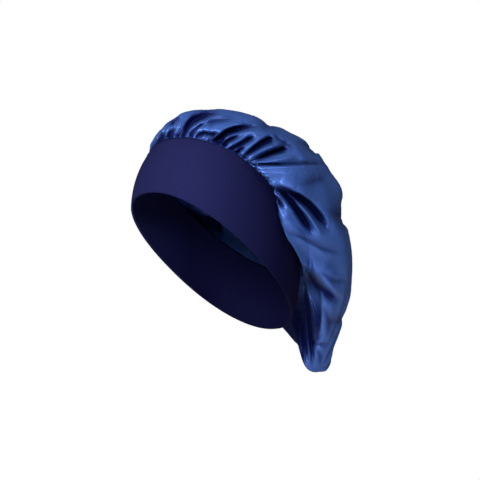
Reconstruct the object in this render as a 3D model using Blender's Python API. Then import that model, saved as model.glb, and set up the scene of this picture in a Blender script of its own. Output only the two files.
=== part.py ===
"""A satin bonnet, held in the form it has when worn: a wide knitted band round the
opening, and a circle of satin gathered into the band's upper edge, which puffs over
the top and hangs down behind as a bag that narrows to a tail.

Metres, +Z up, the wearer looks along -Y, and the wearer's left side is +X.  The origin
is the centre of the band's lower rim.  Both pieces are sheets worked out on a grid of
an angle round the opening (0 at the front, 90 on the left side, 180 at the rear) and a
share of the way across the sheet, and get their wall from a Solidify modifier.
"""

import math

import bpy
import numpy as np

# The band, measured on its outer face.
RIM_LENGTH = 0.214  # front to rear across the lower rim, along its tilt
RIM_BREADTH = 0.156  # left to right across the lower rim
RIM_TILT = 38.0  # degrees that the rim's front is raised over its rear
RIM_SQUARENESS = 2.2  # exponent of the rim's superellipse, 2 is an ellipse
SEAM_BREADTH = 0.164  # left to right across the gathered seam
BAND_WIDTH = 0.0665
BAND_WALL = 0.0022  # knit folded double
BAND_BOW = 0.005  # how far the band's middle stands outside its two edges
DENT_DEPTH = 0.0018  # a shallow hollow across the front, under the seam
DENT_SPREAD = 24.0  # degrees

# The satin crown and its bag.
CROWN_WALL = 0.001
SEAM_GAP = 0.0003  # from the band's upper edge to the crown's
TOP_PUFF = 0.064  # how far the top stands over the straight way to the bag's middle
SIDE_PUFF = 0.048  # the same for the two sides, outwards
BAG_REACH = 0.031  # the same for the bag's rear wall, backwards
TAIL_DROP = 0.130  # the same for the tail, downwards
POLE_BACK = 0.066  # from the seam's rear to the middle of the bag's rear wall
POLE_RISE = 0.057

# Gathers, the small pleats that leave the seam.
GATHERS = 28
GATHER_DEPTH = 0.0042
GATHER_PEAK = 0.085  # share of the sheet where they are deepest
GATHER_WANDER = 0.9  # radians that their spacing drifts round the seam

# Grid of each sheet.
BAND_COLUMNS = 80
BAND_ROWS = 5
CROWN_COLUMNS = 112
CROWN_ROWS = 21
ROW_CROWDING = 1.2  # above 1, the crown's rows lie closer together near the seam
CURVE_STEPS = 14  # points that stand for a fold's curve

# How the band leans out of the vertical at three places, in degrees, and the height
# of its chord there as a share of BAND_WIDTH.
BAND_RAKE = {
    # place: (lean, chord)
    "front": (25.0, 0.965),
    "side": (8.0, 1.17),
    "rear": (7.0, 0.985),
}

# Sections of the crown, from the seam to the middle of the bag's rear wall, the pole.
# "across" is the share of the sheet, and "toPole" how far the section has moved from
# the seam to the pole in a straight line.  The other columns are what it stands off
# that line: back as a share of BAG_REACH, up as a share of TOP_PUFF (the top and the
# sides) or of TAIL_DROP (the tail), and wide as a share of SIDE_PUFF.  "pinch" narrows
# the rear into a tail, and "swept" carries its flanks back, as a share of BAG_REACH.
SECTION_COLUMNS = ("across", "toPole", "topBack", "topUp", "sideBack", "sideUp",
                   "tailBack", "tailUp", "wide", "pinch", "swept")
SECTIONS = (
    (0.00, 0.00, 0.00, 0.00, 0.00, 0.00, 0.00, 0.00, 0.00, 0.00, 0.00),
    (0.03, 0.02, -0.09, 0.10, -0.02, 0.01, 0.11, 0.01, 0.12, 0.04, 0.02),
    (0.08, 0.05, -0.17, 0.26, -0.06, -0.11, 0.23, -0.11, 0.27, 0.14, 0.09),
    (0.16, 0.10, -0.20, 0.51, -0.03, -0.17, 0.37, -0.30, 0.42, 0.30, 0.29),
    (0.28, 0.18, -0.03, 0.74, 0.10, -0.22, 0.33, -0.62, 0.62, 0.60, 0.70),
    (0.40, 0.28, 0.15, 0.87, 0.20, -0.27, 0.35, -0.93, 0.77, 0.85, 0.65),
    (0.52, 0.40, 0.28, 0.95, 0.27, -0.36, 0.67, -1.00, 0.90, 0.82, 0.26),
    (0.66, 0.56, 0.45, 0.99, 0.31, -0.43, 1.00, -0.82, 1.00, 0.62, 0.00),
    (0.80, 0.76, 0.45, 0.98, 0.28, -0.42, 0.83, -0.61, 0.90, 0.35, 0.00),
    (0.92, 0.92, 0.30, 0.57, 0.13, -0.18, 0.33, -0.27, 0.55, 0.20, 0.00),
    (1.00, 1.00, 0.00, 0.00, 0.00, 0.00, 0.00, 0.00, 0.00, 0.00, 0.00),
)

# Folds of the crown.  Each runs from its start near the seam by a bend to its end,
# each given as an angle in degrees and a share of the sheet.  Its half width is a
# share of SIDE_PUFF, its height too, and a height below 0 is a valley.
FOLD_COLUMNS = ("startAngle", "startAcross", "bendAngle", "bendAcross",
                "endAngle", "endAcross", "halfWidth", "height")
FOLDS = (
    (17, 0.06, 19, 0.18, 26, 0.32, 0.22, -0.12),
    (26, 0.05, 32, 0.18, 36, 0.36, 0.24, 0.09),
    (41, 0.07, 46, 0.20, 44, 0.42, 0.22, -0.13),
    (55, 0.06, 55, 0.16, 50, 0.30, 0.24, 0.08),
    (65, 0.09, 61, 0.24, 51, 0.42, 0.26, -0.17),
    (69, 0.16, 68, 0.32, 52, 0.58, 0.28, 0.10),
    (74, 0.10, 73, 0.30, 60, 0.62, 0.36, 0.11),
    (84, 0.12, 96, 0.12, 112, 0.10, 0.26, 0.11),
    (86, 0.26, 93, 0.36, 99, 0.52, 0.24, -0.17),
    (92, 0.17, 108, 0.16, 112, 0.24, 0.22, -0.11),
    (122, 0.08, 108, 0.34, 103, 0.58, 0.22, -0.09),
    (152, 0.08, 132, 0.28, 123, 0.56, 0.28, 0.12),
    (150, 0.16, 136, 0.34, 127, 0.60, 0.24, -0.12),
    (162, 0.14, 152, 0.30, 146, 0.60, 0.26, 0.09),
    (173, 0.22, 164, 0.34, 161, 0.50, 0.22, -0.09),
    (188, 0.20, 192, 0.34, 190, 0.56, 0.24, 0.08),
    (204, 0.18, 207, 0.34, 216, 0.60, 0.26, -0.11),
    (214, 0.10, 226, 0.30, 234, 0.58, 0.28, 0.10),
    (236, 0.08, 248, 0.32, 256, 0.56, 0.24, -0.13),
    (254, 0.10, 264, 0.30, 272, 0.54, 0.30, 0.11),
    (270, 0.12, 280, 0.30, 290, 0.50, 0.24, -0.14),
    (286, 0.08, 294, 0.24, 306, 0.46, 0.28, 0.10),
    (300, 0.08, 307, 0.22, 318, 0.40, 0.24, -0.14),
    (318, 0.06, 322, 0.18, 330, 0.34, 0.24, 0.09),
    (334, 0.07, 336, 0.18, 342, 0.30, 0.22, -0.10),
    (352, 0.06, 352, 0.16, 356, 0.28, 0.22, 0.08),
)


def clear_scene():
    """Removes what the scene starts with."""
    for thing in list(bpy.data.objects):
        bpy.data.objects.remove(thing, do_unlink=True)


def rim_points():
    """The (y, z) of the lower rim's front, side and rear."""
    tilt = math.radians(RIM_TILT)
    front = 0.5 * RIM_LENGTH * np.array([-math.cos(tilt), math.sin(tilt)])
    return front, np.zeros(2), -front


def seam_points():
    """The (y, z) of the band's upper edge, where the crown is sewn on."""
    points = []
    for base, place in zip(rim_points(), ("front", "side", "rear")):
        lean, chord = BAND_RAKE[place]
        angle = math.radians(lean)
        points.append(base + BAND_WIDTH * chord * np.array([math.sin(angle), math.cos(angle)]))
    return points


def closed_ring(front, side, rear, half, pinch, swept, square, angles):
    """A closed curve through a front, two sides and a rear point, each (y, z).

    Along cos(angle) the curve is a parabola through the three points, and x follows
    sin(angle) times the half breadth, narrowed towards the rear by the pinch.
    """
    sine, cosine = np.sin(angles), np.cos(angles)
    across = np.sign(sine) * np.abs(sine) ** (2.0 / square)
    along = np.sign(cosine) * np.abs(cosine) ** (2.0 / square)
    behind = np.clip(-cosine, 0.0, 1.0)
    ring = np.empty((len(angles), 3))
    ring[:, 0] = half * across * (1.0 - pinch * behind ** 2)
    for axis in (0, 1):
        middle = 0.5 * (front[axis] + rear[axis])
        ring[:, axis + 1] = (side[axis] + along * 0.5 * (front[axis] - rear[axis])
                             + along ** 2 * (middle - side[axis]))
    ring[:, 1] += swept * 4.0 * (sine * behind) ** 2
    return ring


def smooth_rows(rows, places):
    """Reads the rows, whose first column is the place, on a smooth curve through all."""
    knots, values = rows[:, 0], rows[:, 1:]
    span = np.diff(knots)[:, None]
    slope = np.diff(values, axis=0) / span
    tangent = np.empty_like(values)
    tangent[1:-1] = (slope[:-1] * span[1:] + slope[1:] * span[:-1]) / (span[1:] + span[:-1])
    tangent[0] = 1.5 * slope[0] - 0.5 * tangent[1]
    tangent[-1] = 1.5 * slope[-1] - 0.5 * tangent[-2]
    cell = np.clip(np.searchsorted(knots, places, side="right") - 1, 0, len(knots) - 2)
    step = span[cell]
    part = (places[:, None] - knots[cell][:, None]) / step
    return ((2 * part ** 3 - 3 * part ** 2 + 1) * values[cell]
            + (part ** 3 - 2 * part ** 2 + part) * step * tangent[cell]
            + (3 * part ** 2 - 2 * part ** 3) * values[cell + 1]
            + (part ** 3 - part ** 2) * step * tangent[cell + 1])


def sheet_normals(grid):
    """Outward unit normals of a grid that is closed round its columns."""
    round_way = np.roll(grid, -1, axis=1) - np.roll(grid, 1, axis=1)
    up_way = np.gradient(grid, axis=0)
    normal = np.cross(round_way, up_way)
    return normal / (np.linalg.norm(normal, axis=2, keepdims=True) + 1e-12)


def ring_angles(columns):
    return np.radians(np.arange(columns) * 360.0 / columns)


def angle_between(angles, centre):
    """Signed degrees from a centre angle, from -180 to 180."""
    return (np.degrees(angles) - centre + 180.0) % 360.0 - 180.0


def band_grid():
    """The band's outer face: straight from rim to seam, bowed out, with a front dent."""
    angles = ring_angles(BAND_COLUMNS)
    rim = closed_ring(*rim_points(), 0.5 * RIM_BREADTH, 0.0, 0.0, RIM_SQUARENESS, angles)
    seam = closed_ring(*seam_points(), 0.5 * SEAM_BREADTH, 0.0, 0.0, 2.0, angles)
    share = np.linspace(0.0, 1.0, BAND_ROWS)[:, None, None]
    grid = rim * (1.0 - share) + seam * share
    dent_row = np.exp(-((share[..., 0] - 0.75) / 0.2) ** 2)
    dent_angle = np.exp(-(angle_between(angles, 0.0) / DENT_SPREAD) ** 2)
    stand = BAND_BOW * 4.0 * share[..., 0] * (1.0 - share[..., 0])
    stand = stand - DENT_DEPTH * dent_row * dent_angle * (1.0 - share[..., 0] ** 8)
    return grid + sheet_normals(grid) * stand[..., None]


def section_rows():
    """The section table in metres: one row of ring values for each section."""
    front, side, rear = seam_points()
    front = front + np.array([0.0, SEAM_GAP])
    side = side + np.array([0.0, SEAM_GAP])
    rear = rear + np.array([0.0, SEAM_GAP])
    pole = rear + np.array([POLE_BACK, POLE_RISE])
    rows = []
    for values in SECTIONS:
        row = dict(zip(SECTION_COLUMNS, values))
        near = row["toPole"]
        top = np.array([row["topBack"] * BAG_REACH, row["topUp"] * TOP_PUFF])
        flank = np.array([row["sideBack"] * BAG_REACH, row["sideUp"] * TOP_PUFF])
        tail = np.array([row["tailBack"] * BAG_REACH, row["tailUp"] * TAIL_DROP])
        half = 0.5 * SEAM_BREADTH * (1.0 - near) + row["wide"] * SIDE_PUFF
        rows.append((row["across"], *(front + (pole - front) * near + top),
                     *(side + (pole - side) * near + flank),
                     *(rear + (pole - rear) * near + tail),
                     half, row["pinch"], row["swept"] * BAG_REACH))
    return np.array(rows)


def gather_height(angles, across):
    """Ripples that swell just past the seam and die out up the crown."""
    rise = across / GATHER_PEAK
    envelope = (rise * np.exp(1.0 - rise)) ** 1.5
    drift = GATHER_WANDER * (np.sin(3.0 * angles + 0.4) + 0.6 * np.sin(7.0 * angles + 1.9))
    ripple = 0.5 + 0.5 * np.cos(GATHERS * angles + drift)
    return GATHER_DEPTH * envelope[:, None] * (ripple - 0.35)[None, :]


def fold_height(angles, across):
    """Sum of the folds: each a bell across a bent line on the sheet, tapered at its ends."""
    along_round = 0.5 * (SEAM_BREADTH + SIDE_PUFF) * math.pi / 180.0
    along_up = POLE_BACK + TAIL_DROP
    height = np.zeros((len(across), len(angles)))
    steps = np.linspace(0.0, 1.0, CURVE_STEPS)
    for values in FOLDS:
        row = dict(zip(FOLD_COLUMNS, values))
        nearest = np.full(height.shape, 1.0e9)
        reached = np.zeros(height.shape)
        for step in steps:
            weights = ((1 - step) * (1 - 2 * step), 4 * step * (1 - step), step * (2 * step - 1))
            angle = sum(w * row[k] for w, k in zip(weights, ("startAngle", "bendAngle", "endAngle")))
            place = sum(w * row[k] for w, k in zip(weights, ("startAcross", "bendAcross", "endAcross")))
            gap = np.hypot(angle_between(angles, angle)[None, :] * along_round,
                           (across[:, None] - place) * along_up)
            closer = gap < nearest
            nearest = np.where(closer, gap, nearest)
            reached = np.where(closer, step, reached)
        taper = np.sin(math.pi * np.clip(0.12 + 0.82 * reached, 0.0, 1.0)) ** 0.7
        half_width = row["halfWidth"] * SIDE_PUFF
        height += row["height"] * SIDE_PUFF * taper * np.exp(-(nearest / half_width) ** 2)
    return height


def crown_grid():
    """The crown's outer face from the seam to one row short of the pole, and the pole."""
    angles = ring_angles(CROWN_COLUMNS)
    across = np.linspace(0.0, 1.0, CROWN_ROWS + 1) ** ROW_CROWDING
    rows = smooth_rows(section_rows(), across)
    grid = np.stack([closed_ring(row[0:2], row[2:4], row[4:6], row[6], row[7], row[8], 2.0, angles)
                     for row in rows])
    fade = np.clip((1.0 - across) / 0.2, 0.0, 1.0)[:, None]
    start = np.clip(across / 0.05, 0.0, 1.0)[:, None]
    height = gather_height(angles, across) + fold_height(angles, across) * fade * start
    grid = grid + sheet_normals(grid) * height[..., None]
    return grid[:-1], grid[-1].mean(axis=0)


def sheet_object(name, grid, pole, wall, material):
    """One object: a sheet of quads closed round, fanned to the pole if there is one."""
    rows, columns = grid.shape[:2]
    index = np.arange(rows * columns).reshape(rows, columns)
    right = np.roll(index, -1, axis=1)
    quads = np.stack([index[:-1], right[:-1], right[1:], index[1:]], axis=-1).reshape(-1, 4)
    points = [tuple(point) for point in grid.reshape(-1, 3)]
    faces = [tuple(int(corner) for corner in quad) for quad in quads]
    if pole is not None:
        points.append(tuple(pole))
        faces += [(int(a), int(b), len(points) - 1) for a, b in zip(index[-1], right[-1])]
    mesh = bpy.data.meshes.new(name)
    mesh.from_pydata(points, [], faces)
    mesh.validate()
    mesh.shade_smooth()
    mesh.materials.append(material)
    piece = bpy.data.objects.new(name, mesh)
    bpy.context.collection.objects.link(piece)
    solid = piece.modifiers.new("wall", "SOLIDIFY")
    solid.thickness = wall
    solid.offset = -1.0
    solid.use_rim = True
    return piece


def cloth(name, colour, roughness, sheen):
    """A plain dyed cloth."""
    material = bpy.data.materials.new(name)
    material.use_nodes = True
    shader = material.node_tree.nodes["Principled BSDF"]
    shader.inputs["Base Color"].default_value = (*colour, 1.0)
    shader.inputs["Roughness"].default_value = roughness
    shader.inputs["Metallic"].default_value = 0.0
    shader.inputs["Sheen Weight"].default_value = sheen
    return material


def elastic_band():
    knit = cloth("band_knit", (0.016, 0.015, 0.085), 0.85, 0.2)
    return sheet_object("elastic_band", band_grid(), None, BAND_WALL, knit)


def satin_crown():
    satin = cloth("satin", (0.030, 0.068, 0.270), 0.35, 0.1)
    grid, pole = crown_grid()
    return sheet_object("satin_crown", grid, pole, CROWN_WALL, satin)


def main():
    clear_scene()
    elastic_band()
    satin_crown()


main()
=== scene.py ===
# Satin bonnet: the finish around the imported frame.
import math
import time

import bpy
import numpy as np
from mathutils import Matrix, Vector
from mathutils.bvhtree import BVHTree


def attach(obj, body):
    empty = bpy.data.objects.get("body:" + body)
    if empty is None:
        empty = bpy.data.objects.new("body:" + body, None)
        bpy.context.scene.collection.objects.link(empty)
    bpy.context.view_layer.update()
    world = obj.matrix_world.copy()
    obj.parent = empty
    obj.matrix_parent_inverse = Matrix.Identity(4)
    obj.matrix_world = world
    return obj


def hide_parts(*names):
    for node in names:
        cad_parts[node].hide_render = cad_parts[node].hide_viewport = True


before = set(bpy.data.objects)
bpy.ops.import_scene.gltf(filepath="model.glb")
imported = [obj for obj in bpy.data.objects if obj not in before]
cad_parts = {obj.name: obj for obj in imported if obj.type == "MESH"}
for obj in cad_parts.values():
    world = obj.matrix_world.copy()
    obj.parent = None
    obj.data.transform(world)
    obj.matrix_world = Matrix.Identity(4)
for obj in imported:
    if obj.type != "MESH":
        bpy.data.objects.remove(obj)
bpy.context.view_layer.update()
print("frame loaded, nodes:", ", ".join(sorted(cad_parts)))

mm = 0.001
decimetres = 10.0             # in a metre: the cloth's UV is read in them
ellipse = 2.0                 # exponent of a superellipse that is a plain ellipse
tiny = 1e-9                   # keeps a division from meeting 0

# what the photo fixes: the view
viewSetup = {
    "pixels": 480.0,          # side of the photo
    "azimuth": 54.0,          # degrees from the wearer's front towards their left side
    "elevation": -7.0,
    "lens": 150.0,
    "sensor": 36.0,
    "distance": 2.090,
    "clipEnd": 50.0,
    "aimRight": 0.0296,       # where the middle of the picture lies, along the view's right
    "aimUp": 0.0233,
}


def viewFrame():
    azimuth, elevation = math.radians(viewSetup["azimuth"]), math.radians(viewSetup["elevation"])
    right = np.array([math.cos(azimuth), math.sin(azimuth), 0.0])
    back = np.array([math.sin(azimuth) * math.cos(elevation),
                     -math.cos(azimuth) * math.cos(elevation), math.sin(elevation)])
    return right, np.cross(back, right), back


def viewAim():
    right, up, _ = viewFrame()
    return right * viewSetup["aimRight"] + up * viewSetup["aimUp"]


def inPhoto(points):
    # pinhole view: pixels right and down of each point, and the way to the camera
    right, up, back = viewFrame()
    aim = viewAim()
    away = points - aim
    depth = viewSetup["distance"] - away @ back
    focal = viewSetup["pixels"] * viewSetup["lens"] / viewSetup["sensor"]
    middle = 0.5 * viewSetup["pixels"]
    pixels = np.stack([middle + focal * (away @ right) / depth,
                       middle - focal * (away @ up) / depth], axis=-1)
    toCamera = aim + back * viewSetup["distance"] - points
    return pixels, toCamera / np.linalg.norm(toCamera, axis=-1, keepdims=True)


# curves that the surfaces share

def smoothStep(value):
    value = np.clip(value, 0.0, 1.0)
    return value * value * (3.0 - 2.0 * value)


def rising(value, start, span):
    # 0 up to the start, 1 from start plus span, a smooth step between
    return smoothStep((value - start) / span)


def falling(value, end, span):
    # 1 up to end minus span, 0 from the end, a smooth step between
    return smoothStep((end - value) / span)


def bell(value, middle, breadth):
    # e to the minus square of the distance from the middle in breadths
    return np.exp(-((value - middle) / breadth) ** 2)


def smoothRows(rows, places):
    # cubic through every row, with the tangent at a row the weighted mean of its slopes
    knots, values = rows[:, 0], rows[:, 1:]
    span = np.diff(knots)[:, None]
    slope = np.diff(values, axis=0) / span
    tangent = np.empty_like(values)
    tangent[1:-1] = (slope[:-1] * span[1:] + slope[1:] * span[:-1]) / (span[1:] + span[:-1])
    tangent[0] = 1.5 * slope[0] - 0.5 * tangent[1]
    tangent[-1] = 1.5 * slope[-1] - 0.5 * tangent[-2]
    cell = np.clip(np.searchsorted(knots, places, side="right") - 1, 0, len(knots) - 2)
    step = span[cell]
    part = (places[:, None] - knots[cell][:, None]) / step
    return ((2 * part ** 3 - 3 * part ** 2 + 1) * values[cell]
            + (part ** 3 - 2 * part ** 2 + part) * step * tangent[cell]
            + (3 * part ** 2 - 2 * part ** 3) * values[cell + 1]
            + (part ** 3 - part ** 2) * step * tangent[cell + 1])


def smoothPath(path, count):
    knots = np.linspace(0.0, 1.0, len(path))
    places = np.linspace(0.0, 1.0, count)
    return smoothRows(np.column_stack([knots, np.array(path, dtype=float)]), places)


def closedRing(front, side, rear, half, pinch, swept, square, angles):
    # y and z: a parabola in cos(angle) through the front, side and rear points
    # x: sin(angle) times the half breadth, narrowed behind by the pinch
    sine, cosine = np.sin(angles), np.cos(angles)
    across = np.sign(sine) * np.abs(sine) ** (2.0 / square)
    along = np.sign(cosine) * np.abs(cosine) ** (2.0 / square)
    behind = np.clip(-cosine, 0.0, 1.0)
    ring = np.empty((len(angles), 3))
    ring[:, 0] = half * across * (1.0 - pinch * behind ** 2)
    for axis in (0, 1):
        middle = 0.5 * (front[axis] + rear[axis])
        ring[:, axis + 1] = (side[axis] + along * 0.5 * (front[axis] - rear[axis])
                             + along ** 2 * (middle - side[axis]))
    ring[:, 1] += swept * 4.0 * (sine * behind) ** 2
    return ring


# sheets as grids: rows up the cloth, columns round it, closed

def sheetNormals(grid):
    # cross product of the way round and the way up, unit length
    roundWay = np.roll(grid, -1, axis=1) - np.roll(grid, 1, axis=1)
    upWay = np.gradient(grid, axis=0)
    normal = np.cross(roundWay, upWay)
    return normal / (np.linalg.norm(normal, axis=2, keepdims=True) + 1e-12)


def relaxed(grid, rounds, shares):
    # each point moves towards the mean of its four neighbours by its share
    for _ in range(rounds):
        mean = 0.5 * (np.roll(grid, 1, axis=1) + np.roll(grid, -1, axis=1))
        mean[1:-1] = 0.5 * (mean[1:-1] + 0.5 * (grid[2:] + grid[:-2]))
        mean[0], mean[-1] = grid[0], grid[-1]
        grid = grid + shares * (mean - grid)
    return grid


def gridQuads(rows, columns):
    index = np.arange(rows * columns).reshape(rows, columns)
    right = np.roll(index, -1, axis=1)
    return np.stack([index[:-1], right[:-1], right[1:], index[1:]], axis=-1).reshape(-1, 4)


def clothUv(grid, pole):
    # decimetres round the middle row and up the first column, one pair for each corner; the
    # pole counts as a little past the last row
    rows, columns = grid.shape[:2]
    pastLast = 1.01
    turn = np.append(np.linalg.norm(np.roll(grid[rows // 2], -1, axis=0) - grid[rows // 2], axis=1), 0.0)
    turn = decimetres * np.concatenate([[0.0], np.cumsum(turn[:-1])])
    climb = decimetres * np.linalg.norm(np.diff(grid[:, 0], axis=0), axis=1)
    climb = np.concatenate([[0.0], np.cumsum(climb), [pastLast * climb.sum()]])
    column = np.arange(columns)
    spans = np.stack([column, column + 1, column + 1, column], axis=-1)
    rise = np.arange(rows - 1)
    lifts = np.stack([rise, rise, rise + 1, rise + 1], axis=-1)
    quadUv = np.stack([np.broadcast_to(turn[spans][None], (rows - 1, columns, 4)),
                       np.broadcast_to(climb[lifts][:, None], (rows - 1, columns, 4))], axis=-1)
    fanUv = np.zeros((0, 2))
    if pole is not None:
        fanRise = np.broadcast_to(climb[[rows - 1, rows - 1, rows]], (columns, 3))
        fanUv = np.stack([turn[spans[:, :3]], fanRise], axis=-1).reshape(-1, 2)
    return np.concatenate([quadUv.reshape(-1, 2), fanUv])


def gridMesh(name, grid, pole):
    # quads between the rows, closed round, and a fan to the pole
    rows, columns = grid.shape[:2]
    quads = gridQuads(rows, columns)
    points = grid.reshape(-1, 3)
    fan = np.zeros((0, 3), dtype=int)
    if pole is not None:
        points = np.vstack([points, pole])
        last = np.arange((rows - 1) * columns, rows * columns)
        fan = np.stack([last, np.roll(last, -1), np.full(columns, len(points) - 1)], axis=-1)
    mesh = bpy.data.meshes.new(name)
    mesh.vertices.add(len(points))
    mesh.vertices.foreach_set("co", points.astype(np.float32).ravel())
    corners = np.concatenate([quads.ravel(), fan.ravel()])
    sizes = np.concatenate([np.full(len(quads), 4), np.full(len(fan), 3)])
    starts = np.concatenate([[0], np.cumsum(sizes)[:-1]])
    mesh.loops.add(len(corners))
    mesh.loops.foreach_set("vertex_index", corners.astype(np.int32))
    mesh.polygons.add(len(sizes))
    mesh.polygons.foreach_set("loop_start", starts.astype(np.int32))
    mesh.update(calc_edges=True)
    flat = clothUv(grid, pole).astype(np.float32)
    mesh.uv_layers.new(name="cloth").data.foreach_set("uv", flat.ravel())
    mesh.validate()
    mesh.shade_smooth()
    piece = bpy.data.objects.new(name, mesh)
    bpy.context.collection.objects.link(piece)
    return piece


def giveWall(piece, wall):
    thick = piece.modifiers.new("wall", "SOLIDIFY")
    thick.thickness = wall
    thick.offset = -1.0


# the band

band = {
    "rimLength": 0.214,
    "rimBreadth": 0.156,
    "rimTilt": 38.0,
    "rimSquareness": 2.2,
    "seamBreadth": 0.164,
    "width": 0.0665,
    # how the band leans outwards, in degrees, and its chord as a share of the width
    "rake": {"front": (25.0, 0.965), "side": (8.0, 1.17), "rear": (7.0, 0.985)},
    "wall": 0.0022,
    "bow": 0.005,
    "columns": 420,
    "rows": 40,
    "allowance": 0.008,       # seam allowance felt through the knit under the seam
    "ridge": 0.0005,
    "ridgeBreadth": 0.02,     # share of the width
}


def rimPoints():
    tilt = math.radians(band["rimTilt"])
    front = 0.5 * band["rimLength"] * np.array([-math.cos(tilt), math.sin(tilt)])
    return front, np.zeros(2), -front


def seamPoints():
    points = []
    for base, place in zip(rimPoints(), ("front", "side", "rear")):
        lean, chord = band["rake"][place]
        angle = math.radians(lean)
        points.append(base + band["width"] * chord * np.array([math.sin(angle), math.cos(angle)]))
    return points


def bandRings(angles):
    # the rim's ring and the seam's
    rim = closedRing(*rimPoints(), 0.5 * band["rimBreadth"], 0.0, 0.0, band["rimSquareness"], angles)
    seam = closedRing(*seamPoints(), 0.5 * band["seamBreadth"], 0.0, 0.0, ellipse, angles)
    return rim, seam


def bandFace():
    # straight from the rim to the seam, plus a parabola for the bow and a bell for the ridge
    rim, seam = bandRings(np.arange(band["columns"]) * 2.0 * math.pi / band["columns"])
    share = np.linspace(0.0, 1.0, band["rows"])[:, None, None]
    face = rim * (1.0 - share) + seam * share
    flat = share[..., 0]
    stand = band["bow"] * 4.0 * flat * (1.0 - flat)
    ridgePlace = 1.0 - band["allowance"] / band["width"]
    stand = stand + band["ridge"] * bell(flat, ridgePlace, band["ridgeBreadth"])
    return face + sheetNormals(face) * stand[..., None]


def makeBand():
    piece = gridMesh("band_knit", bandFace(), None)
    giveWall(piece, band["wall"])
    return piece


# the crown; a pair such as overFrom or overTo holds where a smooth step starts or ends, and
# its span
crown = {
    "gap": 0.0003,
    "topPuff": 0.064,
    "sidePuff": 0.048,
    "bagReach": 0.031,
    "tailDrop": 0.130,
    "poleBack": 0.066,
    "poleRise": 0.057,
    "wall": 0.0006,
    "columns": 440,
    "rows": 104,
    "crowding": 1.3,          # above 1, rows lie closer together near the seam
    "nearShare": 0.42,        # how much closer the columns are on the wearer's left
    "seed": 7,
    # the satin that hangs over the band behind the temples, on both sides
    "overDown": 0.029,
    "overAhead": 0.018,
    "overAway": 0.005,
    "overPlace": 0.030,       # how far across from the seam it hangs lowest
    "overPower": 1.5,         # above 1, it hangs from a narrower strip
    "overFrom": (90.0, 28.0),
    "overTo": (162.0, 18.0),
    # the side behind that is filled out and evened
    "sideMiddle": 128.0,      # degrees from the front
    "fill": 0.009,
    "fillBreadth": 20.0,
    "fillFrom": (0.02, 0.10),
    "fillTo": (0.60, 0.25),
    "fillRounds": 20,
    "relax": 60,
    "relaxBreadth": 24.0,
    "relaxFrom": (0.05, 0.08),
    "relaxTo": (0.70, 0.20),
    "normalRounds": 8,
    "lastRounds": 3,
    "lastShare": 0.8,
    # the tail's end is widened about an upright line
    "tipY": 0.112,
    "tipBelow": (-0.080, 0.032),
    "tipWiden": 0.30,
    # folds of the side: how they are read and where they fade out
    "pathSteps": 36,
    "foldScale": 1.3,
    "foldReach": 3.0,
    "valleyReach": 2.0,
    "foldStart": 0.3,         # how far along its rise a fold is where its path starts
    "foldEnd": 1.5,           # above 1, a fold stays high for longer before it falls
    "sightFrom": 0.25,        # cosine to the camera from which a face moves along the sight
    "shownFrom": (-0.60, 0.66),
    "seamFade": 0.03,
    "poleFade": 0.12,
    # long folds of the back; breadth and tall are drawn between two bounds
    "backFolds": (-0.86, -0.55, -0.28, 0.02, 0.30, 0.62, 0.90),   # shares of the half width
    "backHeight": 0.0030,
    "backBreadth": (0.07, 0.12),
    "backTall": (0.7, 1.2),
    "backLevel": (-0.115, 0.150),
    "backHalf": (0.016, 0.074),   # half width at the tail's tip, and how much it gains above
    "backSway": (0.05, 0.024),    # amount, and length along z
    "backFacing": (0.15, 0.5),
    "backBelow": (0.085, 0.11),
    # pleats that leave the seam; breadth, reach and height are drawn between two bounds
    "gathers": 92,
    "gatherJitter": 0.32,
    "gatherBreadth": (0.8, 1.6),
    "gatherLean": 14.0,
    "gatherReach": (0.06, 0.17),
    "gatherHeight": (1.6, 3.4),
    "gatherRoot": 0.25,
    "gatherFall": 1.6,
    "gatherCalm": 0.8,        # how much lower they are where the satin hangs over the band
    # masks for the colours, painted shade in hollows and painted highlight on crests: the depth or
    # height in metres at which each is full, the powers that shape them, and the painted shade that the
    # seam's gaps, the tail's shaded face and its end add
    "hollowFull": 0.007,
    "hollowPower": 0.7,
    "hollowFade": 8,
    "paintedHighlightFull": 0.006,
    "paintedHighlightPower": 1.0,
    "paintedGapShadeHeight": 0.0014,
    "paintedGapShadeReach": 0.03,
    "shadeFacing": (-0.80, 0.16),
    "shadeBelow": (-0.020, 0.035),
    "shadeDepth": 0.007,
    "paintedTipShadeBelow": (-0.080, 0.020),
    "paintedTipShadeDepth": 0.0008,
    # the thread solver: growth, threads as (rows, columns, strength), spans as (rows,
    # columns, share of the length), and how far a point may move
    "growLeast": 0.012,
    "growMost": 0.10,
    "growReach": 0.25,
    "growDown": 0.012,
    "jitter": 0.00012,
    "threads": ((0, 1, 1.0), (1, 0, 1.0), (1, 1, 0.5), (1, -1, 0.5)),
    "spans": ((0, 2, 0.98), (0, 5, 0.94), (0, 9, 0.88), (2, 0, 0.99), (5, 0, 0.97)),
    "spanStrength": 0.6,
    "rounds": 60,
    "step": 0.35,
    "driftEvery": 5,
    "driftRounds": 12,
    "driftBack": 0.5,
    "cap": 0.0011,
    # the satin that hangs over the band keeps clear of its face
    "clearance": 0.0010,
    "clearDepth": 0.010,
    "clearReach": 0.40,
    "clearAside": 0.0005,
    "clearSpread": 0.02,
    "clearRounds": 8,
    "clearPasses": 2,
}

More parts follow.
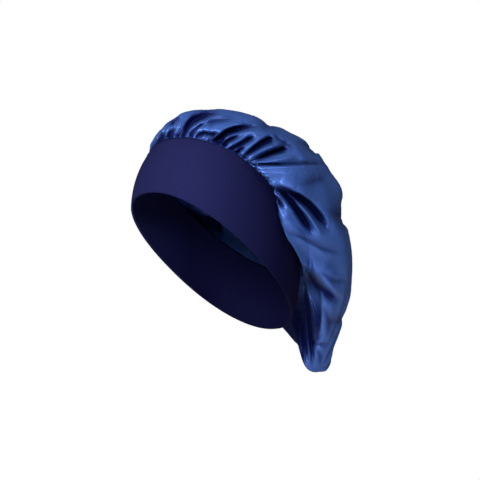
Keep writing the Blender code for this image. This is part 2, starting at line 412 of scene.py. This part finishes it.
# sections of the crown, seam to pole: the same shares that the solid is made from
sectionColumns = ("across", "toPole", "topBack", "topUp", "sideBack", "sideUp",
                  "tailBack", "tailUp", "wide", "pinch", "swept")
sections = (
    (0.00, 0.00, 0.00, 0.00, 0.00, 0.00, 0.00, 0.00, 0.00, 0.00, 0.00),
    (0.03, 0.02, -0.09, 0.10, -0.02, 0.01, 0.11, 0.01, 0.12, 0.04, 0.02),
    (0.08, 0.05, -0.17, 0.26, -0.06, -0.11, 0.23, -0.11, 0.27, 0.14, 0.09),
    (0.16, 0.10, -0.20, 0.51, -0.03, -0.17, 0.37, -0.30, 0.42, 0.30, 0.29),
    (0.28, 0.18, -0.03, 0.74, 0.10, -0.22, 0.33, -0.62, 0.62, 0.60, 0.70),
    (0.40, 0.28, 0.15, 0.87, 0.20, -0.27, 0.35, -0.93, 0.77, 0.85, 0.65),
    (0.52, 0.40, 0.28, 0.95, 0.27, -0.36, 0.67, -1.00, 0.90, 0.82, 0.26),
    (0.66, 0.56, 0.45, 0.99, 0.31, -0.43, 1.00, -0.82, 1.00, 0.62, 0.00),
    (0.80, 0.76, 0.45, 0.98, 0.28, -0.42, 0.83, -0.61, 0.90, 0.35, 0.00),
    (0.92, 0.92, 0.30, 0.57, 0.13, -0.18, 0.33, -0.27, 0.55, 0.20, 0.00),
    (1.00, 1.00, 0.00, 0.00, 0.00, 0.00, 0.00, 0.00, 0.00, 0.00, 0.00),
)

# folds of the side that the photo shows, along paths in its pixels, right and down:
# height in mm (below 0 a valley), half widths on the left and right of the way in px,
# how much the widths grow to its end, and where along it is highest
foldColumns = ("path", "height", "left", "right", "flare", "peak")
folds = (
    # front puff
    (((171, 126), (175, 121), (181, 116)), -6.0, 2.2, 2.6, 1.0, 0.5),
    (((160, 132), (168, 118), (176, 110)), -2.0, 6.0, 8.0, 1.0, 0.6),
    (((262, 132), (270, 122), (276, 112)), -3.5, 8.0, 8.0, 1.0, 0.7),
    (((158, 143), (162, 137), (167, 131)), -6.0, 2.5, 2.5, 1.0, 0.3),
    (((168, 139), (171, 133), (178, 128)), -7.0, 2.5, 3.0, 1.0, 0.3),
    (((177, 138), (179, 132), (184, 126)), -3.0, 2.5, 2.5, 1.0, 0.3),
    # the deep valley behind it and the ridges that bound it
    (((184, 138), (188, 127), (194, 120), (202, 116), (211, 113.5), (224, 113)),
     -13.0, 5.0, 4.6, 0.8, 0.35),
    (((185, 137), (192, 128), (201, 120.5), (214, 117), (232, 118)), 4.0, 1.8, 4.0, 1.5, 0.3),
    (((190, 137), (195, 130), (202, 125), (208, 124)), -5.0, 1.8, 2.0, 1.2, 0.4),
    (((205, 126), (214, 122), (225, 119.5), (238, 117)), -4.0, 3.5, 3.0, 1.0, 0.4),
    (((196, 137), (204, 133.5), (213, 134.5), (220, 131)), -7.0, 2.0, 2.5, 1.0, 0.45),
    # the long crease and the ones below it
    (((211, 141), (221, 138), (227, 133), (237, 129.5), (250, 127), (270, 126)),
     -13.0, 3.5, 3.0, 1.0, 0.25),
    (((214, 135), (226, 128.5), (240, 124.5), (256, 122)), 3.0, 4.0, 2.5, 1.0, 0.4),
    (((216, 145), (220, 141.5), (226, 139.5)), -6.0, 2.0, 2.0, 1.0, 0.4),
    (((222, 147), (227, 142), (233, 138.5), (246, 133)), -10.0, 2.5, 2.5, 1.0, 0.35),
    (((227, 150), (234, 147.5), (241, 144), (249, 139), (256, 136)), -9.0, 2.5, 3.0, 1.0, 0.6),
    (((235, 155), (240, 150), (246, 146)), -8.0, 2.0, 2.0, 1.0, 0.4),
    # the tent: a deep valley with the puff in front of it
    (((242, 158), (250, 151.5), (258, 145.5), (266, 140.5), (274, 137)), -12.0, 1.6, 3.0, 1.8, 0.75),
    (((247, 161), (255, 153), (265, 147.5), (276, 144.5), (288, 143)), 5.0, 2.5, 4.0, 1.2, 0.5),
    (((274, 134), (280, 139), (288, 144), (296, 148)), -4.0, 2.0, 4.0, 1.0, 0.3),
    (((253, 160.5), (262, 157), (272, 153), (281, 150), (289, 147)), -12.0, 2.6, 2.2, 1.4, 0.65),
    (((258, 164), (273, 161), (286, 158.5), (299, 155)), 4.0, 2.0, 3.0, 1.3, 0.5),
    (((251, 162.5), (259, 164.5), (270, 164.5), (286, 165), (308, 164)), -6.0, 1.6, 1.4, 1.0, 0.35),
    (((288, 140), (297, 147), (304, 157), (309, 166)), 6.0, 1.5, 6.0, 1.0, 0.6),
    (((302, 142), (312, 147), (320, 152.5)), -4.0, 2.0, 4.0, 1.0, 0.7),
    # the broad panel with its sharp upper edge
    (((262, 168.5), (279, 167.3), (293, 167), (310, 166.8), (329, 167.5)), 7.0, 1.0, 6.0, 2.4, 0.55),
    (((286, 164.5), (300, 164.3), (314, 164.3), (328, 165)), -3.5, 3.0, 1.0, 1.0, 0.5),
    (((270, 186), (286, 190), (299, 192), (306, 197), (318, 203)), 5.5, 9.0, 2.0, 1.0, 0.4),
    (((300, 186), (316, 181), (328, 178)), -2.5, 5.0, 5.0, 1.0, 0.5),
    (((280, 175), (297, 177), (316, 175)), 2.6, 7.0, 8.0, 1.0, 0.5),
    # the two deep streaks with the ridge between them, and the ridge that bounds them
    (((276, 187), (289, 199), (298, 211), (306, 223), (314, 237)), -14.0, 3.0, 3.2, 1.1, 0.5),
    (((280, 187), (292, 193), (305, 201), (317, 213), (331, 234)), -14.0, 2.6, 4.2, 1.2, 0.6),
    (((294, 203), (307, 213), (317, 227), (322, 238)), 4.0, 2.5, 2.5, 1.2, 0.5),
    (((316, 202), (327, 211), (336, 224), (342, 240)), 4.0, 5.0, 5.0, 1.0, 0.5),
    (((276, 197), (279.5, 202), (285, 210)), -7.0, 1.8, 2.0, 1.0, 0.4),
    # the lower panel and the creases under it
    (((281, 206), (290, 222), (306, 239), (324, 248)), 5.0, 6.0, 6.5, 1.0, 0.4),
    (((284, 231), (300, 236.5), (315, 244.5), (327, 250.5), (347, 254)), -3.5, 5.0, 1.8, 1.0, 0.6),
    (((332, 279), (338, 280.5), (347, 280)), -2.0, 2.0, 3.0, 1.0, 0.5),
    (((312, 255), (325, 263), (341, 267)), -1.6, 7.0, 7.0, 1.0, 0.5),
    (((328, 210), (340, 216), (352, 226)), -4.2, 9.0, 10.0, 1.0, 0.6),
    (((320, 178), (334, 188), (348, 198)), 3.5, 9.0, 7.0, 1.0, 0.7),
    (((300, 261), (313, 270), (325, 281), (337, 293), (347, 304)), 6.0, 8.0, 2.0, 1.0, 0.4),
    (((306, 269), (316, 282), (328, 293), (342, 302)), -9.0, 2.5, 7.0, 1.0, 0.5),
    (((318, 271), (328, 277), (337, 285)), -2.5, 3.0, 3.0, 1.0, 0.5),
    # the tail
    (((303, 268), (307, 290), (312, 306), (317, 322), (321, 337)), 5.0, 1.8, 8.0, 1.0, 0.7),
    (((304, 280), (307, 302), (309.5, 325), (312, 348), (313, 370)), -9.0, 2.5, 2.5, 1.0, 0.5),
    (((321, 336), (316, 340), (312, 342)), -4.0, 2.0, 2.0, 1.0, 0.5),
    (((312, 343), (320, 344.5), (331, 343)), -4.0, 1.8, 2.5, 1.0, 0.4),
    (((322, 308), (329, 320), (328, 338)), -3.0, 4.0, 4.0, 1.0, 0.5),
    (((316, 350), (321, 356), (320, 366)), -2.5, 2.5, 2.5, 1.0, 0.5),
    (((328, 323), (338, 319), (350, 315)), -3.0, 4.0, 4.0, 1.0, 0.7),
    (((298, 292), (300, 312), (303, 338), (306, 370)), -11.0, 5.5, 12.0, 1.0, 0.6),
)

# the other side is like it but not the same: its paths are read through a wave, its folds
# are lower, and they end before the outline
otherSide = {
    "height": 0.85,
    "wave": 4.0,
    "waveLength": 46.0,
    "wavePhase": (0.7, 2.1),
    "shift": 3.0,
    "ends": (330.0, 16.0),
}


def crownBase(angles, across):
    # each section is a closed ring; its points stand off the straight way seam to pole
    front, side, rear = (point + np.array([0.0, crown["gap"]]) for point in seamPoints())
    pole = rear + np.array([crown["poleBack"], crown["poleRise"]])
    rows = []
    for values in sections:
        row = dict(zip(sectionColumns, values))
        near = row["toPole"]
        top = np.array([row["topBack"] * crown["bagReach"], row["topUp"] * crown["topPuff"]])
        flank = np.array([row["sideBack"] * crown["bagReach"], row["sideUp"] * crown["topPuff"]])
        tail = np.array([row["tailBack"] * crown["bagReach"], row["tailUp"] * crown["tailDrop"]])
        half = 0.5 * band["seamBreadth"] * (1.0 - near) + row["wide"] * crown["sidePuff"]
        rows.append((row["across"], *(front + (pole - front) * near + top),
                     *(side + (pole - side) * near + flank),
                     *(rear + (pole - rear) * near + tail),
                     half, row["pinch"], row["swept"] * crown["bagReach"]))
    read = smoothRows(np.array(rows), across)
    return np.stack([closedRing(row[0:2], row[2:4], row[4:6], row[6], row[7], row[8], ellipse, angles)
                     for row in read])


def overSpread(degrees):
    # 1 behind the temples, on both sides, and 0 elsewhere
    turned = np.minimum(degrees, 360.0 - degrees)
    return rising(turned, *crown["overFrom"]) * falling(turned, *crown["overTo"])


def overhang(angles, across):
    # behind the temples the satin falls over the band: a step towards the wearer's front,
    # one along the band's face towards the rim, and one away from the band
    rim, seam = bandRings(angles)
    down = rim - seam
    down /= np.linalg.norm(down, axis=1, keepdims=True)
    away = np.cross(np.roll(seam, -1, axis=0) - np.roll(seam, 1, axis=0), -down)
    away /= np.linalg.norm(away, axis=1, keepdims=True)
    spread = overSpread(np.degrees(angles))
    run = across / crown["overPlace"]
    swell = (run * np.exp(1.0 - run)) ** crown["overPower"]
    ahead = np.array([0.0, -1.0, 0.0]) + away[:, 1:2] * away
    step = crown["overDown"] * down + crown["overAway"] * away + crown["overAhead"] * ahead
    return swell[:, None, None] * (spread[:, None] * step)[None]


def sideBell(angles, breadth):
    # 1 on both sides at the middle of the part that hangs over the band
    turned = np.degrees(np.minimum(angles, 2.0 * math.pi - angles))
    return bell(turned, crown["sideMiddle"], breadth)


def smoothForm(angles, across):
    # the crown without its folds: the sections, with the tail's end widened, the satin
    # hung over the band, and the side behind it filled out and evened
    base = crownBase(angles, across)
    low = falling(base[..., 2], *crown["tipBelow"])[..., None]
    middle = np.array([0.0, crown["tipY"], 0.0])
    base = base + low * crown["tipWiden"] * (base - middle) * np.array([1.0, 1.0, 0.0])
    base = base + overhang(angles, across)
    filled = (rising(across, *crown["fillFrom"]) * falling(across, *crown["fillTo"]))[:, None]
    filled = filled * sideBell(angles, crown["fillBreadth"])[None]
    outwards = relaxed(sheetNormals(base), crown["fillRounds"], 1.0)
    base = base + crown["fill"] * filled[..., None] * outwards
    loose = (rising(across, *crown["relaxFrom"]) * falling(across, *crown["relaxTo"]))[:, None]
    return relaxed(base, crown["relax"], (loose * sideBell(angles, crown["relaxBreadth"]))[..., None])


def foldHeights(pixels, weights):
    # each fold depends on the distance to its path: a ridge is a bell, a valley is the
    # square of what is left to its rim, and both rise and fall along the path
    height, hollow, paintedHighlight = (np.zeros(weights.shape) for _ in range(3))
    for values in folds:
        row = dict(zip(foldColumns, values))
        way = smoothPath(row["path"], crown["pathSteps"])
        heading = np.gradient(way, axis=0)
        heading = heading / np.linalg.norm(heading, axis=1, keepdims=True)
        reach = crown["foldReach"] * max(row["left"], row["right"]) * max(1.0, row["flare"])
        inside = np.all((pixels > way.min(axis=0) - reach) & (pixels < way.max(axis=0) + reach), axis=-1)
        inside &= weights > 0.0
        gaps = pixels[inside][:, None, :] - way[None, :, :]
        nearest = np.argmin(np.einsum("ijk,ijk->ij", gaps, gaps), axis=1)
        gap, ahead = gaps[np.arange(len(nearest)), nearest], heading[nearest]
        along = gap[:, 0] * ahead[:, 0] + gap[:, 1] * ahead[:, 1]
        sideways = ahead[:, 0] * gap[:, 1] - ahead[:, 1] * gap[:, 0]
        share = nearest / (len(way) - 1.0)
        beyond = np.where((share <= 0.0) | (share >= 1.0), along, 0.0)
        grow = 1.0 + (row["flare"] - 1.0) * share
        width = np.where(sideways < 0.0, row["left"], row["right"]) * grow
        apart = np.hypot(sideways, beyond) / width
        peak = row["peak"]
        rise = smoothStep(crown["foldStart"] + share / peak) * (share < peak)
        fall = smoothStep(crown["foldEnd"] * (1.0 - share) / (1.0 - peak)) * (share >= peak)
        if row["height"] < 0.0:
            form = np.clip(1.0 - apart / crown["valleyReach"], 0.0, 1.0) ** 2
        else:
            form = np.exp(-apart ** 2)
        lift = crown["foldScale"] * row["height"] * mm * (rise + fall) * form
        height[inside] += lift
        # painted shade from the valleys' depth and painted highlight from the ridges' height
        hollow[inside] += np.clip(-lift, 0.0, 1.0)
        paintedHighlight[inside] += np.clip(lift, 0.0, 1.0)
    return height * weights, hollow * weights, paintedHighlight * weights


def foldWay(faces, toCamera):
    # folds move along the line of sight, so that they stay where the photo has them, and
    # along the surface's normal near the outline, so that they reach it
    facing = np.einsum("ijk,ijk->ij", faces, toCamera)
    way = faces + smoothStep(facing / crown["sightFrom"])[..., None] * (toCamera - faces)
    return way / (np.linalg.norm(way, axis=2, keepdims=True) + tiny), rising(facing, *crown["shownFrom"])


def bothSides(base, normals):
    # what the photo shows takes the folds as seen; the rest takes them mirrored, through a wave
    flip = np.array([-1.0, 1.0, 1.0])
    pixels, toCamera = inPhoto(base)
    way, shown = foldWay(normals, toCamera)
    # depth here is the painted shade mask of the side that is shown
    height, depth, paintedHighlight = foldHeights(pixels, shown)
    moves = height[..., None] * way
    pixels, toCamera = inPhoto(base * flip)
    way, seen = foldWay(normals * flip, toCamera)
    phase = 2.0 * math.pi / otherSide["waveLength"]
    wave = otherSide["wave"] * np.sin(phase * pixels[..., ::-1] + np.array(otherSide["wavePhase"]))
    share = (1.0 - shown) * seen * otherSide["height"]
    share = share * falling(pixels[..., 0], *otherSide["ends"])
    # the other side's painted shade and painted highlight masks
    height, hollow, ridge = foldHeights(pixels + wave + otherSide["shift"], share)
    moves = moves + height[..., None] * way * flip
    # the painted shade masks of both sides, faded away from where either side is shown, and the painted
    # highlight masks added up
    return moves, (depth + hollow) * np.maximum(shown, seen) ** crown["hollowFade"], paintedHighlight + ridge


def backHeights(base, normals):
    # long soft folds down the back: bells over x, as shares of a half width that narrows
    # towards the tail's tip, faded out at the top and at the sides
    draw = np.random.default_rng(crown["seed"] + 1)
    least, more = crown["backHalf"]
    half = least + more * rising(base[..., 2], *crown["backLevel"])
    amount, length = crown["backSway"]
    sway = amount * np.sin(base[..., 2] / length)
    total = np.zeros(half.shape)
    for place in crown["backFolds"]:
        breadth, tall = draw.uniform(*crown["backBreadth"]), draw.uniform(*crown["backTall"])
        off = base[..., 0] / half - place - sway
        total += tall * bell(off, 0.0, breadth)
    faces = rising(normals[..., 1], *crown["backFacing"])
    return crown["backHeight"] * total * faces * falling(base[..., 2], *crown["backBelow"])


def gatherHeights(angles, across):
    # short pleats that leave the seam: bells over the angle, each with its own place,
    # breadth, lean and length
    draw = np.random.default_rng(crown["seed"])
    count = crown["gathers"]
    jitter, tilt = crown["gatherJitter"], crown["gatherLean"]
    places = (np.arange(count) + draw.uniform(-jitter, jitter, count)) * 360.0 / count
    breadths = draw.uniform(*crown["gatherBreadth"], count)
    leans = draw.uniform(-tilt, tilt, count)
    reaches = draw.uniform(*crown["gatherReach"], count)
    heights = draw.uniform(*crown["gatherHeight"], count)
    total = np.zeros((len(across), len(angles)))
    degrees = np.degrees(angles)[None, :]
    calm = 1.0 - crown["gatherCalm"] * overSpread(degrees)
    for place, breadth, lean, reach, tall in zip(places, breadths, leans, reaches, heights):
        off = (degrees - place - lean * across[:, None] + 180.0) % 360.0 - 180.0
        run = across[:, None] / reach
        total += (tall * mm * bell(off, 0.0, breadth) * (crown["gatherRoot"] + run)
                  * np.exp(-run ** crown["gatherFall"]))
    return total * calm


def nearWeighted(count):
    # angles round the crown, closer together on the wearer's left, which the photo shows
    even = np.arange(count) * 2.0 * math.pi / count
    return even + crown["nearShare"] * (np.cos(even) - 1.0)


def between(grid, down, over):
    # steps from each point to the one some rows down and some columns over
    return np.roll(grid, -over, axis=1)[down:] - grid[:len(grid) - down]


def threadLengths(base, roundGrowth):
    # each thread takes its length from the folded shape, times its growth: threads along
    # and across resist both ways, longer spans only pull back, so that they bend softly
    growDown = crown["growDown"]
    rows = []
    for down, over, strength in crown["threads"]:
        rest = np.linalg.norm(between(base, down, over), axis=2, keepdims=True)
        hoop = np.linalg.norm(between(base, 0, 1), axis=2, keepdims=True)[:len(rest)]
        share = (hoop ** 2 * abs(over)) / (rest ** 2 + 1e-12) if down else np.ones_like(rest)
        share = np.clip(share, 0.0, 1.0)
        grown = roundGrowth[:len(rest), None, None] * share
        grown = grown + growDown * (1.0 - share)
        rows.append((down, over, strength, rest * (1.0 + grown), False))
    for down, over, share in crown["spans"]:
        rest = np.linalg.norm(between(base, down, over), axis=2, keepdims=True)
        grown = roundGrowth[:len(rest), None, None] if over else growDown
        rows.append((down, over, crown["spanStrength"], rest * share * (1.0 + grown), True))
    return rows


def settle(grid, across):
    # a light cloth solver: grown threads push the folded shape into small creases, and any
    # broad drift from the shape is taken back, so that only creases stay
    draw = np.random.default_rng(crown["seed"])
    base, points = grid.copy(), grid.copy()
    points[2:-1] += draw.normal(0.0, crown["jitter"], points[2:-1].shape)
    roundGrowth = crown["growLeast"] + (crown["growMost"] - crown["growLeast"]) * np.exp(
        -across / crown["growReach"])
    threads = threadLengths(base, roundGrowth)
    for turn in range(crown["rounds"]):
        push = np.zeros_like(points)
        for down, over, strength, rest, onlyPulls in threads:
            step = between(points, down, over)
            length = np.linalg.norm(step, axis=2, keepdims=True) + tiny
            pull = strength * 0.5 * (1.0 - rest / length)
            if onlyPulls:
                pull = np.minimum(pull, 0.0)
            step = step * pull
            push[:len(step)] += step
            push[down:] -= np.roll(step, over, axis=1)
        push[0] = 0.0
        push[-1] = 0.0
        points += push * crown["step"]
        if (turn + 1) % crown["driftEvery"] == 0:
            broad = points - base
            for _ in range(crown["driftRounds"]):
                broad = (broad + np.roll(broad, 1, axis=1) + np.roll(broad, -1, axis=1)) / 3.0
                broad[1:-1] = (broad[1:-1] + broad[:-2] + broad[2:]) / 3.0
            points -= crown["driftBack"] * broad
    moved = points - base
    length = np.linalg.norm(moved, axis=2, keepdims=True)
    cap = crown["cap"]
    return base + moved * cap * np.tanh(length / cap) / (length + tiny)


def clearOfBand(grid, angles, across):
    # satin that hangs over the band and would cross it is moved out along the band's
    # normal, with soft shoulders
    face = bandFace()
    quads = gridQuads(*face.shape[:2])
    tree = BVHTree.FromPolygons(face.reshape(-1, 3).tolist(), quads.tolist())
    push = np.zeros(grid.shape)
    over = np.flatnonzero(overSpread(np.degrees(angles)) > crown["clearSpread"])
    for row in range(1, int(np.searchsorted(across, crown["clearReach"]))):
        for column in over:
            point = Vector(grid[row, column])
            spot, normal, _, _ = tree.find_nearest(point, crown["clearDepth"])
            if spot is None:
                continue
            away = (point - spot).dot(normal)
            aside = (point - spot - away * normal).length
            if away < crown["clearance"] and aside < crown["clearAside"]:
                push[row, column] = normal * (crown["clearance"] - away)
    soft = relaxed(push, crown["clearRounds"], 1.0)
    larger = np.linalg.norm(push, axis=2) >= np.linalg.norm(soft, axis=2)
    return grid + np.where(larger[..., None], push, soft)


def addMask(piece, name, amount, full, power):
    # a value from 0 to 1 at each point: the amount's share of its full one, to a power
    shares = np.clip(amount / full, 0.0, 1.0) ** power
    values = np.append(shares[:-1].ravel(), 0.0).astype(np.float32)
    piece.data.attributes.new(name, "FLOAT", "POINT").data.foreach_set("value", values)


def foldedCrown(angles, across):
    # the smooth form with the side's folds, the back's and the pleats at the seam, and how
    # deep in a hollow and how high on a crest each point lies, as masks for painted shade and painted
    # highlight
    base = smoothForm(angles, across)
    normals = relaxed(sheetNormals(base), crown["normalRounds"], 1.0)
    normals /= np.linalg.norm(normals, axis=2, keepdims=True) + tiny
    start = rising(across, 0.0, crown["seamFade"])[:, None]
    fade = falling(across, 1.0, crown["poleFade"])[:, None]
    moves, hollow, paintedHighlight = bothSides(base, normals)
    moves *= (start * fade)[..., None]
    hollow *= fade
    pleats = gatherHeights(angles, across) + fade * backHeights(base, normals)
    # painted shade in the gaps between the pleats near the seam
    gaps = np.clip(1.0 - pleats / crown["paintedGapShadeHeight"], 0.0, 1.0)
    hollow += crown["hollowFull"] * gaps * bell(across, 0.0, crown["paintedGapShadeReach"])[:, None]
    shade = falling(normals[..., 1], *crown["shadeFacing"])
    shade = shade * falling(base[..., 2], *crown["shadeBelow"])
    # painted shade at the tail's end
    end = falling(base[..., 2], *crown["paintedTipShadeBelow"])
    hollow += crown["shadeDepth"] * shade + crown["paintedTipShadeDepth"] * end
    paintedHighlight *= 1.0 - shade
    return base + moves + normals * pleats[..., None], hollow, paintedHighlight


def makeCrown():
    started = time.time()
    angles = nearWeighted(crown["columns"])
    across = np.linspace(0.0, 1.0, crown["rows"] + 1) ** crown["crowding"]
    grid, hollow, paintedHighlight = foldedCrown(angles, across)
    print("crown folded after %.1f s" % (time.time() - started))
    grid = settle(grid, across)
    evened = crown["lastShare"] * sideBell(angles, crown["relaxBreadth"])
    grid = relaxed(grid, crown["lastRounds"], evened[None, :, None])
    for _ in range(crown["clearPasses"]):
        grid = clearOfBand(grid, angles, across)
    print("crown settled after %.1f s" % (time.time() - started))
    piece = gridMesh("crown_satin", grid[:-1], grid[-1].mean(axis=0))
    # masks for painted shade in hollows and painted highlight on crests
    addMask(piece, "hollow", hollow, crown["hollowFull"], crown["hollowPower"])
    addMask(piece, "paintedHighlight", paintedHighlight, crown["paintedHighlightFull"], crown["paintedHighlightPower"])
    giveWall(piece, crown["wall"])
    return piece


# materials

knit = {
    # painted light and shade: the front colour is the lit knit, the rear colour the shaded knit
    "front": (0.0064, 0.0074, 0.042, 1.0),
    "rear": (0.0006, 0.0006, 0.014, 1.0),
    "paintedLightFrontY": -0.06,
    "paintedShadeRearY": 0.03,
    "roughness": 0.85,
    "specular": 0.06,
    "wales": {"Scale": 95.0, "Distortion": 0.6},
    "walesBump": {"Strength": 0.12, "Distance": 0.0003},
}

satin = {
    "open": (0.039, 0.096, 0.330, 1.0),
    # the second colour is a painted highlight on crests, the third a painted shade in hollows
    "paintedHighlight": (0.042, 0.102, 0.360, 1.0),
    "hollow": (0.003, 0.006, 0.050, 1.0),
    "roughness": 0.46,
    "metallic": 0.45,
    "specular": 0.36,
    # specular level in the painted shade of the hollows
    "hollowSpecular": 0.06,
    # the wide noise and the fine one, each with the bump that it makes
    "noises": (
        ({"Scale": 34.0, "Detail": 1.5, "Distortion": 1.2}, {"Strength": 0.5, "Distance": 0.0030}),
        ({"Scale": 260.0, "Detail": 3.0}, {"Strength": 0.25, "Distance": 0.0004}),
    ),
}


def plainMaterial(name, color, roughness, metallic=0.0, specular=0.4):
    material = bpy.data.materials.new(name)
    material.use_nodes = True
    shader = material.node_tree.nodes["Principled BSDF"]
    shader.inputs["Base Color"].default_value = color
    shader.inputs["Roughness"].default_value = roughness
    shader.inputs["Metallic"].default_value = metallic
    shader.inputs["Specular IOR Level"].default_value = specular
    return material, material.node_tree, shader


def addNode(tree, kind, values):
    # a node with some of its inputs set
    node = tree.nodes.new(kind)
    for name, value in values.items():
        node.inputs[name].default_value = value
    return node


def addMix(tree, factor, first, second):
    # a colour between the first, a colour or a socket, and the second, by the factor
    mix = tree.nodes.new("ShaderNodeMix")
    mix.data_type = "RGBA"
    tree.links.new(factor, mix.inputs[0])
    if isinstance(first, tuple):
        mix.inputs[6].default_value = first
    else:
        tree.links.new(first, mix.inputs[6])
    mix.inputs[7].default_value = second
    return mix.outputs[2]


def addBump(tree, height, values, under=None):
    # a bump from a height, over another bump's normal if there is one
    bump = addNode(tree, "ShaderNodeBump", values)
    tree.links.new(height, bump.inputs["Height"])
    if under is not None:
        tree.links.new(under, bump.inputs["Normal"])
    return bump.outputs[0]


def knitMaterial():
    # painted light and shade: lighter over the forehead to darker at the nape, by object y,
    # with fine upright wales: a bump from a sine wave on the length round the band
    material, tree, shader = plainMaterial("knit", knit["front"], knit["roughness"],
                                           specular=knit["specular"])
    place = tree.nodes.new("ShaderNodeTexCoord")
    split = tree.nodes.new("ShaderNodeSeparateXYZ")
    spread = addNode(tree, "ShaderNodeMapRange", {"From Min": knit["paintedLightFrontY"], "From Max": knit["paintedShadeRearY"]})
    tree.links.new(place.outputs["Object"], split.inputs[0])
    tree.links.new(split.outputs["Y"], spread.inputs["Value"])
    # painted light at the front to painted shade at the nape
    color = addMix(tree, spread.outputs[0], knit["front"], knit["rear"])
    tree.links.new(color, shader.inputs["Base Color"])
    wave = addNode(tree, "ShaderNodeTexWave", knit["wales"])
    tree.links.new(place.outputs["UV"], wave.inputs["Vector"])
    tree.links.new(addBump(tree, wave.outputs["Fac"], knit["walesBump"]), shader.inputs["Normal"])
    return material


def satinMaterial():
    # the cloth's blue on the open cloth, a lighter blue on a crest as painted highlight and a dark blue
    # in a fold's hollow as painted shade, which also loses its shine there as painted shade; two noises,
    # wide and fine, crumple it
    material, tree, shader = plainMaterial("satin", satin["open"], satin["roughness"],
                                           satin["metallic"], satin["specular"])
    paintedHighlight, hollow = (tree.nodes.new("ShaderNodeAttribute") for _ in range(2))
    paintedHighlight.attribute_name, hollow.attribute_name = "paintedHighlight", "hollow"
    color = addMix(tree, paintedHighlight.outputs["Fac"], satin["open"], satin["paintedHighlight"])
    color = addMix(tree, hollow.outputs["Fac"], color, satin["hollow"])
    tree.links.new(color, shader.inputs["Base Color"])
    # painted shade takes the shine out of the hollows
    specularUnderPaintedShade = addNode(tree, "ShaderNodeMapRange", {"To Min": satin["specular"],
                                                 "To Max": satin["hollowSpecular"]})
    tree.links.new(hollow.outputs["Fac"], specularUnderPaintedShade.inputs["Value"])
    tree.links.new(specularUnderPaintedShade.outputs[0], shader.inputs["Specular IOR Level"])
    place = tree.nodes.new("ShaderNodeTexCoord")
    normal = None
    for pattern, bump in satin["noises"]:
        noise = addNode(tree, "ShaderNodeTexNoise", pattern)
        tree.links.new(place.outputs["Object"], noise.inputs["Vector"])
        normal = addBump(tree, noise.outputs["Fac"], bump, normal)
    tree.links.new(normal, shader.inputs["Normal"])
    return material


# studio

studio = {
    "floorZ": -0.62,
    "floorSize": 9.0,
    "floorColor": (0.86, 0.86, 0.87, 1.0),
    "floorRoughness": 0.9,
    "seenColor": (1.0, 1.0, 1.0, 1.0),      # what the camera sees behind the bonnet
    "ambientColor": (0.93, 0.95, 1.0, 1.0),
    "ambient": 0.06,
    "lightAim": (0.0, 0.05, 0.03),
}

# each light stands off the aim in the view's directions
lightColumns = ("name", "toRight", "toUp", "toBack", "distance", "size", "power", "color")
lights = (
    ("key", -0.85, 0.65, 0.45, 1.6, 0.9, 22.0, (1.0, 0.98, 0.95)),
    ("side", 0.55, 0.80, 0.35, 1.7, 0.8, 11.0, (0.97, 0.98, 1.0)),
    ("fill", -0.22, 0.35, 1.0, 1.8, 0.6, 42.0, (0.97, 0.98, 1.0)),
)


def pointAt(thing, target):
    direction = np.array(target) - np.array(thing.location)
    thing.rotation_euler = Vector(direction).to_track_quat("-Z", "Y").to_euler()


def makeCamera():
    aim, back = viewAim(), viewFrame()[2]
    data = bpy.data.cameras.new("photo_view")
    data.lens = viewSetup["lens"]
    data.sensor_width = viewSetup["sensor"]
    data.clip_end = viewSetup["clipEnd"]
    camera = bpy.data.objects.new("photo_view", data)
    bpy.context.collection.objects.link(camera)
    camera.location = aim + back * viewSetup["distance"]
    pointAt(camera, aim)
    bpy.context.scene.camera = camera


def makeLight(row):
    right, up, back = viewFrame()
    way = right * row["toRight"] + up * row["toUp"] + back * row["toBack"]
    way = way / np.linalg.norm(way)
    data = bpy.data.lights.new(row["name"], "AREA")
    data.shape = "DISK"
    data.size = row["size"]
    data.energy = row["power"]
    data.color = row["color"]
    light = bpy.data.objects.new(row["name"], data)
    bpy.context.collection.objects.link(light)
    aim = np.array(studio["lightAim"])
    light.location = aim + way * row["distance"]
    pointAt(light, aim)


def makeFloor():
    size, level = studio["floorSize"], studio["floorZ"]
    corners = [(-size, -size, level), (size, -size, level), (size, size, level), (-size, size, level)]
    mesh = bpy.data.meshes.new("floor")
    mesh.from_pydata(corners, [], [(0, 1, 2, 3)])
    floor = bpy.data.objects.new("floor", mesh)
    bpy.context.collection.objects.link(floor)
    paint, _, _ = plainMaterial("floor_paint", studio["floorColor"], studio["floorRoughness"])
    mesh.materials.append(paint)


def makeWorld():
    # white behind the bonnet for the camera, a faint light for everything else
    world = bpy.data.worlds.new("studio")
    bpy.context.scene.world = world
    world.use_nodes = True
    tree = world.node_tree
    tree.nodes.clear()
    out = tree.nodes.new("ShaderNodeOutputWorld")
    seen = addNode(tree, "ShaderNodeBackground", {"Color": studio["seenColor"], "Strength": 1.0})
    lit = addNode(tree, "ShaderNodeBackground", {"Color": studio["ambientColor"],
                                                 "Strength": studio["ambient"]})
    pathKind = tree.nodes.new("ShaderNodeLightPath")
    mix = tree.nodes.new("ShaderNodeMixShader")
    tree.links.new(pathKind.outputs["Is Camera Ray"], mix.inputs[0])
    tree.links.new(lit.outputs[0], mix.inputs[1])
    tree.links.new(seen.outputs[0], mix.inputs[2])
    tree.links.new(mix.outputs[0], out.inputs["Surface"])
    bpy.context.scene.view_settings.view_transform = "Standard"


print("making the band")
bandPiece = makeBand()
bandPiece.data.materials.append(knitMaterial())
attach(bandPiece, "root")
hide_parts("elastic_band")

print("making the crown")
crownPiece = makeCrown()
crownPiece.data.materials.append(satinMaterial())
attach(crownPiece, "root")
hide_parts("satin_crown")

print("studio and camera")
makeFloor()
makeWorld()
for values in lights:
    makeLight(dict(zip(lightColumns, values)))
makeCamera()
